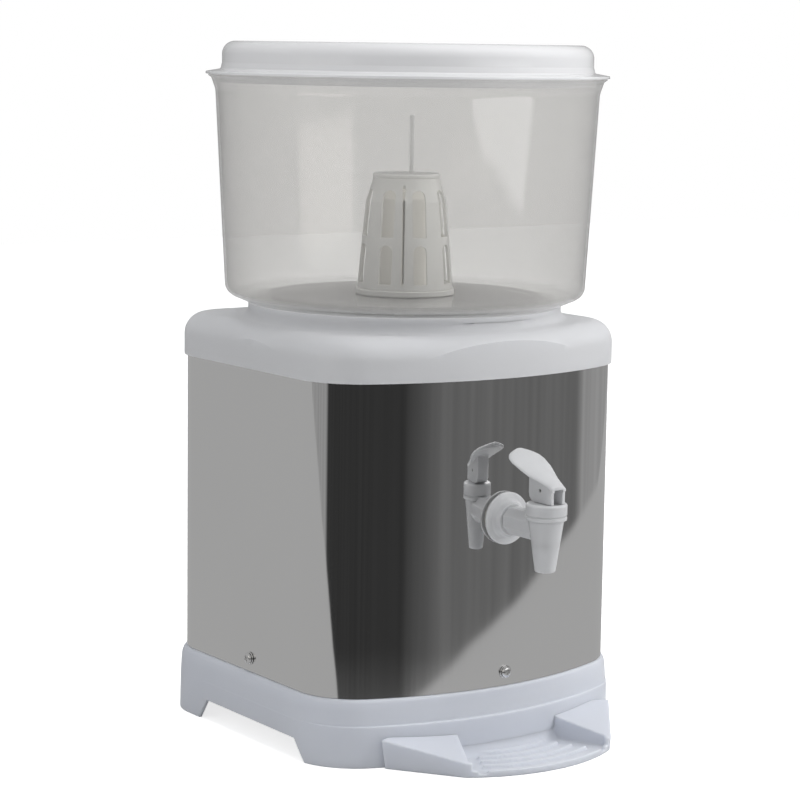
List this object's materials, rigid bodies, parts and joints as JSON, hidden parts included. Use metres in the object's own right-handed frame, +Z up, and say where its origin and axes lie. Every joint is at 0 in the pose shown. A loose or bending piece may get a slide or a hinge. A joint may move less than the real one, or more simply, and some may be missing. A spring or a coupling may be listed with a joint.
{
  "type": "gravity water filter with tap",
  "caption": "Gravity water filter: frosted upper tub with filter cartridge and lid on a bowed steel cabinet with a push lever tap and a drip tray.",
  "frame": {"origin": "under the middle of the object's box, on the surface it stands on", "axes": "+Z up, front with the tap towards -Y, +X to the right as seen from the front"},
  "size_m": [0.2934, 0.3336, 0.4994],
  "materials": {
    "moulded_white": "semi-gloss, injection moulded",
    "tap_white": "gloss, injection moulded",
    "stainless_sheet": "bright annealed, nearly a mirror",
    "fastener_steel": "plain",
    "tub_frosted": "frosted, translucent",
    "lid_frosted": "frosted, translucent",
    "tank_plastic": "natural",
    "cartridge_plastic": "natural, semi-gloss",
    "candle_ceramic": "unglazed",
    "seal_silicone": "satin",
    "valve_rubber": "matte"
  },
  "bodies": {
    "root": {"base": "moulded_white", "steel_jacket": "stainless_sheet", "jacket_rivet_1": "fastener_steel", "jacket_rivet_2": "fastener_steel", "jacket_rivet_3": "fastener_steel", "jacket_rivet_4": "fastener_steel", "jacket_screw_front": "fastener_steel", "jacket_screw_left": "fastener_steel", "jacket_screw_right": "fastener_steel", "jacket_screw_back": "fastener_steel", "screw_washer_front": "fastener_steel", "screw_washer_left": "fastener_steel", "screw_washer_right": "fastener_steel", "screw_washer_back": "fastener_steel", "reservoir": "tank_plastic", "top_cover": "moulded_white", "tap_body": "tap_white", "tap_collar": "tap_white", "outer_gasket": "seal_silicone", "inner_gasket": "seal_silicone", "tap_nut": "tap_white", "tap_bonnet": "tap_white", "tap_spring": "fastener_steel"},
    "upper_tub": {"tub": "tub_frosted", "cartridge_base": "cartridge_plastic", "cartridge_cage": "cartridge_plastic", "cartridge_cap": "cartridge_plastic", "filter_candle": "candle_ceramic", "vent_tube": "cartridge_plastic", "outlet_seal": "seal_silicone", "outlet_washer": "seal_silicone", "wing_nut": "cartridge_plastic"},
    "tub_lid": {"lid": "lid_frosted"},
    "spring_carrier": {"spring_washer": "fastener_steel"},
    "valve": {"valve_stem": "tap_white", "valve_plug": "valve_rubber", "lever_pin": "fastener_steel"},
    "push_lever": {"lever": "tap_white"}
  },
  "joints": [
    {"name": "tub_lift", "type": "slide", "parent": "root", "child": "upper_tub", "axis": [0, 0, 1], "range_m": [0, 0.06]},
    {"name": "lid_lift", "type": "slide", "parent": "upper_tub", "child": "tub_lid", "axis": [0, 0, 1], "range_m": [0, 0.05]},
    {"name": "stem_lift", "type": "slide", "parent": "root", "child": "spring_carrier", "axis": [0, 0, 1], "range_m": [0, 0.0032], "stiffness_N_per_m": 300, "springref_m": -0.004, "deforming": ["tap_spring"]},
    {"name": "lever_swivel", "type": "hinge", "parent": "spring_carrier", "child": "valve", "pos_m": [0, -0.1524, 0.18], "axis": [0, 0, 1], "continuous": true},
    {"name": "lever_tilt", "type": "hinge", "parent": "valve", "child": "push_lever", "pos_m": [0, -0.1524, 0.197], "axis": [-1, 0, 0], "range_deg": [0, 30]}
  ],
  "couplings": [
    {"joint": "lever_tilt", "follows": "stem_lift", "rad_per_m": 163.6}
  ]
}
